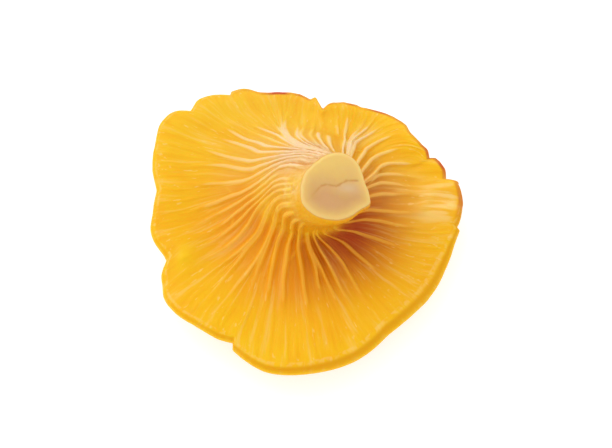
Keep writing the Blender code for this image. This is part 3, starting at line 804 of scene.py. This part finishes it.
class Graph:
    """Short calls for the nodes of one material."""

    def __init__(self, material):
        self.tree = material.node_tree
        self.shader = material.node_tree.nodes["Principled BSDF"]

    def put(self, socket, value):
        if isinstance(value, bpy.types.NodeSocket):
            self.tree.links.new(value, socket)
        else:
            socket.default_value = value

    def trait(self, name, output="Fac"):
        node = self.tree.nodes.new("ShaderNodeAttribute")
        node.attribute_name = name
        return node.outputs[output]

    def math(self, operation, a, b=0.0, clamp=False):
        node = self.tree.nodes.new("ShaderNodeMath")
        node.operation = operation
        node.use_clamp = clamp
        self.put(node.inputs[0], a)
        self.put(node.inputs[1], b)
        return node.outputs[0]

    def band(self, value, low, high, start=0.0, end=1.0):
        """The value's smooth passage from low to high, as start to end."""
        node = self.tree.nodes.new("ShaderNodeMapRange")
        node.interpolation_type = "SMOOTHSTEP"
        for socket, given in zip(node.inputs, (value, low, high, start, end)):
            self.put(socket, given)
        return node.outputs[0]

    def mix(self, share, a, b, blend="MIX"):
        node = self.tree.nodes.new("ShaderNodeMix")
        node.data_type = "RGBA"
        node.blend_type = blend
        self.put(node.inputs["Factor"], share)
        self.put(node.inputs[6], a)
        self.put(node.inputs[7], b)
        return node.outputs[2]

    def noise(self, vector, scale, detail=2.0, roughness=0.5):
        node = self.tree.nodes.new("ShaderNodeTexNoise")
        self.put(node.inputs["Vector"], vector)
        self.put(node.inputs["Scale"], scale)
        self.put(node.inputs["Detail"], detail)
        self.put(node.inputs["Roughness"], roughness)
        return node.outputs["Fac"]

    def stretched(self, vector, scale):
        node = self.tree.nodes.new("ShaderNodeMapping")
        self.put(node.inputs["Vector"], vector)
        self.put(node.inputs["Scale"], scale)
        return node.outputs[0]

    def axis(self, vector, index):
        node = self.tree.nodes.new("ShaderNodeSeparateXYZ")
        self.put(node.inputs[0], vector)
        return node.outputs[index]

    def object_place(self):
        return self.tree.nodes.new("ShaderNodeTexCoord").outputs["Object"]

    def bump(self, height, strength, distance, normal=None):
        node = self.tree.nodes.new("ShaderNodeBump")
        self.put(node.inputs["Height"], height)
        self.put(node.inputs["Strength"], strength)
        self.put(node.inputs["Distance"], distance)
        if normal is not None:
            self.put(node.inputs["Normal"], normal)
        return node.outputs[0]


FLESH_OUTER = srgb(248, 194, 8)
FLESH_MIDDLE = srgb(246, 190, 26)
FLESH_INNER = srgb(238, 182, 34)
FLESH_PALE = srgb(242, 196, 74)
BUNDLE_WHITE = srgb(231, 198, 150)
BUNDLE_TAN = srgb(212, 150, 78)
FLUFF_YELLOW = srgb(240, 200, 84)
FLUFF_WHITE = srgb(248, 222, 150)
# Brighter yellow, partly painted light on a swelling that faces the light.
BRIGHT_AND_LIT_YELLOW = srgb(255, 212, 30)
FLESH_TAN = srgb(228, 166, 66)
FLESH_WARM = srgb(238, 158, 6)
# Deep orange brown: partly the flesh's own colour, partly painted shadow in the hollow beside the
# stem.
DEEP_FLESH_AND_SHADOW = srgb(180, 70, 10)
FLESH_ORANGE = srgb(240, 158, 4)
# Multiplied in as painted shade in the furrows between the crests.
FURROW_SHADE = srgb(244, 220, 190)
CREST_GOLD = srgb(244, 182, 54)
CREST_LINE = srgb(252, 214, 130)
CREST_PALE = srgb(244, 214, 174)
FLECK = srgb(255, 220, 140)
ROLL_GOLD_AND_SHADE = srgb(232, 164, 0)
ROLL_EDGE_LIGHT = srgb(250, 196, 24)
ROLL_HIGHLIGHT = srgb(250, 208, 120)
DRIED_EDGE = srgb(200, 88, 40)
SKIN_YELLOW = srgb(244, 168, 36)
SKIN_ORANGE = srgb(228, 132, 22)
CUT_MIDDLE = srgb(216, 166, 112)
CUT_YELLOW = srgb(240, 202, 114)
CUT_RIM_CREAM = srgb(248, 218, 140)
CUT_STAIN = srgb(210, 160, 92)
CUT_BEIGE = srgb(222, 186, 138)
CRACK_BROWN = srgb(210, 152, 84)


def gill_colour(g):
    """Colour of the gill side: yellow at the margin, and its zones and crests further in, with
    painted shade in the furrows near the stem and in the hollow beside it.
    """
    station = g.trait("station")
    crest = g.trait("crest")
    fan = g.trait("fan", "Vector")
    colour = g.mix(g.band(station, 0.45, 0.9), FLESH_MIDDLE, FLESH_OUTER)
    colour = g.mix(g.band(station, 0.1, 0.42, 1.0, 0.0), colour, FLESH_INNER)
    # The deep tone is partly painted shadow in the hollow beside the stem.
    for name, tone in (
        ("warm", FLESH_WARM), ("pale", FLESH_PALE), ("tan", FLESH_TAN), ("deep", DEEP_FLESH_AND_SHADOW),
    ):
        colour = g.mix(g.trait(name), colour, tone)
    patches = g.noise(g.object_place(), 130.0, 3.0)
    colour = g.mix(g.band(patches, 0.45, 0.75, 0.0, 0.3), colour, FLESH_ORANGE)
    streaks = g.noise(g.stretched(fan, (0.9, 0.9, 0.12)), 1.0, 3.0)
    colour = g.mix(g.band(streaks, 0.5, 0.25, 0.0, 0.3), colour, FLESH_ORANGE)
    colour = g.mix(g.band(streaks, 0.5, 0.75, 0.0, 0.28), colour, CREST_LINE)
    strands = g.noise(g.stretched(fan, (0.5, 0.5, 0.12)), 1.0, 3.0, 0.65)
    strand = g.mix(g.band(strands, 0.38, 0.56), BUNDLE_TAN, BUNDLE_WHITE)
    colour = g.mix(g.trait("bundle"), colour, strand)
    tufts = g.noise(g.object_place(), 620.0, 3.0, 0.6)
    fluff = g.mix(g.band(tufts, 0.42, 0.68), FLUFF_YELLOW, FLUFF_WHITE)
    colour = g.mix(g.trait("fluff"), colour, fluff)
    # Partly painted light: the swelling near the left margin is made brighter.
    colour = g.mix(g.trait("bright"), colour, BRIGHT_AND_LIT_YELLOW)
    # Painted shade: the furrows between the crests are darkened towards the stem.
    shade = g.math("MULTIPLY", g.band(crest, 0.5, 0.0, 0.0, 0.7), g.band(station, 0.7, 0.45))
    colour = g.mix(shade, colour, FURROW_SHADE, "MULTIPLY")

    light = g.trait("light")
    line = g.mix(light, CREST_GOLD, g.mix(g.trait("pale"), CREST_LINE, CREST_PALE))
    strength = g.math("ADD", 0.5, g.math("MULTIPLY", light, 0.3))
    faintest = g.math("SUBTRACT", 0.65, g.math("MULTIPLY", light, 0.3))
    colour = g.mix(g.math("MULTIPLY", strength, g.band(crest, faintest, 0.95)), colour, line)
    flecks = g.noise(g.stretched(fan, (1.3, 1.3, 0.5)), 1.0, 2.0)
    outer = g.math("MULTIPLY", g.band(station, 0.55, 0.7), g.band(flecks, 0.62, 0.74, 0.0, 0.35))
    colour = g.mix(outer, colour, FLECK)
    frilled = g.math("MULTIPLY", g.trait("frill"), g.band(streaks, 0.4, 0.6, 0.1, 0.7))
    return g.mix(frilled, colour, FLECK)


def margin_colour(g, inner):
    """The roll of the margin: a faint painted highlight on its crest, gold beyond that is partly
    painted shade, a lighter outer edge painted as light, red brown where dried.
    """
    station, roll = g.trait("station"), g.trait("roll")
    # Painted highlight: a faint broken pale line along the roll's crest.
    line = g.math("MULTIPLY", g.band(station, 0.985, 1.0), g.band(roll, 0.02, 0.15, 1.0, 0.0))
    # Gold on the roll beside its crest: partly its own colour, partly painted shade where it faces
    # away from the light.
    shaded = g.math("MULTIPLY", g.band(roll, 0.03, 0.2), g.band(roll, 0.2, 0.42, 1.0, 0.25))
    golden = g.math("MULTIPLY", shaded, g.trait("golden"))
    colour = g.mix(golden, inner, ROLL_GOLD_AND_SHADE)
    # Painted light: the outer part of the roll, which faces down and away from the light, is made a
    # lighter yellow.
    colour = g.mix(g.band(roll, 0.3, 0.5, 0.0, 0.6), colour, ROLL_EDGE_LIGHT)
    broken = g.band(g.noise(g.object_place(), 900.0, 1.0), 0.4, 0.6, 0.0, 0.35)
    colour = g.mix(g.math("MULTIPLY", line, broken), colour, ROLL_HIGHLIGHT)
    return g.mix(g.trait("dried"), colour, DRIED_EDGE)


def skin_colour(g):
    fan = g.trait("fan", "Vector")
    fibrils = g.noise(g.stretched(fan, (0.7, 0.7, 0.12)), 1.0, 4.0, 0.6)
    colour = g.mix(g.band(fibrils, 0.4, 0.7), SKIN_YELLOW, SKIN_ORANGE)
    blotches = g.noise(g.object_place(), 160.0, 3.0)
    return g.mix(g.band(blotches, 0.5, 0.75, 0.0, 0.5), colour, FLESH_OUTER)


def cut_colour(g):
    """The cut: tan flesh, yellower behind, lighter in front of the crack, and with a light rim."""
    share = g.trait("cut_share")
    place = g.object_place()
    clouds = g.noise(place, 190.0, 3.0)
    colour = g.mix(g.band(clouds, 0.35, 0.7, 0.0, 0.8), CUT_MIDDLE, CUT_STAIN)
    cloudy = g.band(clouds, 0.3, 0.7, -0.2, 0.1)
    back = g.math("ADD", g.band(g.axis(place, 1), -0.002, 0.006), cloudy)
    colour = g.mix(g.math("MULTIPLY", back, 0.9, clamp=True), colour, CUT_YELLOW)
    colour = g.mix(g.trait("beige"), colour, CUT_BEIGE)
    colour = g.mix(g.band(share, 0.6, 1.0, 0.0, 0.8), colour, CUT_YELLOW)
    colour = g.mix(g.band(share, 0.86, 0.98, 0.0, 0.4), colour, CUT_RIM_CREAM)
    return g.mix(g.math("MULTIPLY", g.trait("crack"), 0.8), colour, CRACK_BROWN)


def flesh_material():
    material = bpy.data.materials.new("chanterelle_flesh_fine")
    material.use_nodes = True
    g = Graph(material)
    colour = margin_colour(g, gill_colour(g))
    colour = g.mix(g.trait("skin"), colour, skin_colour(g))
    colour = g.mix(g.trait("cut"), colour, cut_colour(g))

    place = g.object_place()
    fan = g.trait("fan", "Vector")
    grain = g.noise(place, 1400.0, 3.0, 0.6)
    fibres = g.noise(g.stretched(fan, (2.2, 2.2, 0.3)), 1.0, 3.0)
    normal = g.bump(fibres, 0.18, 0.0002)
    normal = g.bump(grain, 0.3, 0.00008, normal)
    rough = g.band(g.noise(place, 420.0, 3.0), 0.3, 0.7, 0.36, 0.56)

    shader = g.shader.inputs
    g.put(shader["Base Color"], colour)
    g.put(shader["Roughness"], rough)
    g.put(shader["Normal"], normal)
    g.put(shader["Metallic"], 0.0)
    g.put(shader["Specular IOR Level"], 0.16)
    g.put(shader["Subsurface Weight"], 0.3)
    g.put(shader["Subsurface Radius"], (1.0, 0.38, 0.08))
    g.put(shader["Subsurface Scale"], 0.0012)
    return material


def make_chanterelle():
    obj = bpy.data.objects.new("chanterelle_body", chanterelle_surface().mesh("chanterelle_body"))
    bpy.context.scene.collection.objects.link(obj)
    obj.data.materials.append(flesh_material())
    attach(obj, "root")
    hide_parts("chanterelle")
    return obj


FLOOR_SIZE = 6.0
FLOOR_TONE = 0.65
FLOOR_GLOW = 0.6  # as a sheet of paper on a light table


def make_floor():
    """A plain pale floor, which isn't part of the object."""
    half = FLOOR_SIZE / 2
    corners = [(-half, -half, 0), (half, -half, 0), (half, half, 0), (-half, half, 0)]
    data = bpy.data.meshes.new("floor")
    data.from_pydata(corners, [], [(0, 1, 2, 3)])
    floor = bpy.data.objects.new("floor", data)
    bpy.context.scene.collection.objects.link(floor)
    material = bpy.data.materials.new("floor_pale")
    material.use_nodes = True
    shader = material.node_tree.nodes["Principled BSDF"].inputs
    shader["Base Color"].default_value = (FLOOR_TONE, FLOOR_TONE, FLOOR_TONE, 1.0)
    shader["Roughness"].default_value = 0.9
    shader["Emission Color"].default_value = (1.0, 1.0, 1.0, 1.0)
    shader["Emission Strength"].default_value = FLOOR_GLOW
    data.materials.append(material)


# The camera stands in front of the cap and looks down on it.
CAMERA_ELEVATION = 65
CAMERA_DISTANCE = 0.645
CAMERA_LENS = 200
CAMERA_AIM = Vector((-0.0002, 0.0005, 0.008))

WORLD_LIGHT = 0.84
KEY_PLACE = Vector((-0.42, 0.42, 0.62))
KEY_SIZE = 0.9
KEY_POWER = 2.6


def look_at(obj, place, aim):
    obj.location = place
    obj.rotation_euler = (aim - place).to_track_quat("-Z", "Y").to_euler()


def make_camera():
    camera = bpy.data.objects.new("camera", bpy.data.cameras.new("camera"))
    camera.data.lens = CAMERA_LENS
    camera.data.clip_end = 20
    bpy.context.scene.collection.objects.link(camera)
    rise = math.radians(CAMERA_ELEVATION)
    back = Vector((0, -math.cos(rise), math.sin(rise)))
    look_at(camera, CAMERA_AIM + CAMERA_DISTANCE * back, CAMERA_AIM)
    bpy.context.scene.camera = camera


def make_light():
    """White light from all round, and a soft light from the left and behind."""
    world = bpy.data.worlds.new("studio")
    world.use_nodes = True
    shader = world.node_tree.nodes["Background"].inputs
    shader["Color"].default_value = (1.0, 1.0, 1.0, 1.0)
    shader["Strength"].default_value = WORLD_LIGHT
    bpy.context.scene.world = world
    key = bpy.data.objects.new("key", bpy.data.lights.new("key", "AREA"))
    key.data.shape = "DISK"
    key.data.size = KEY_SIZE
    key.data.energy = KEY_POWER
    bpy.context.scene.collection.objects.link(key)
    look_at(key, KEY_PLACE, Vector((0, 0, 0)))


make_chanterelle()
make_floor()
make_camera()
make_light()
bpy.context.scene.view_settings.view_transform = "Standard"
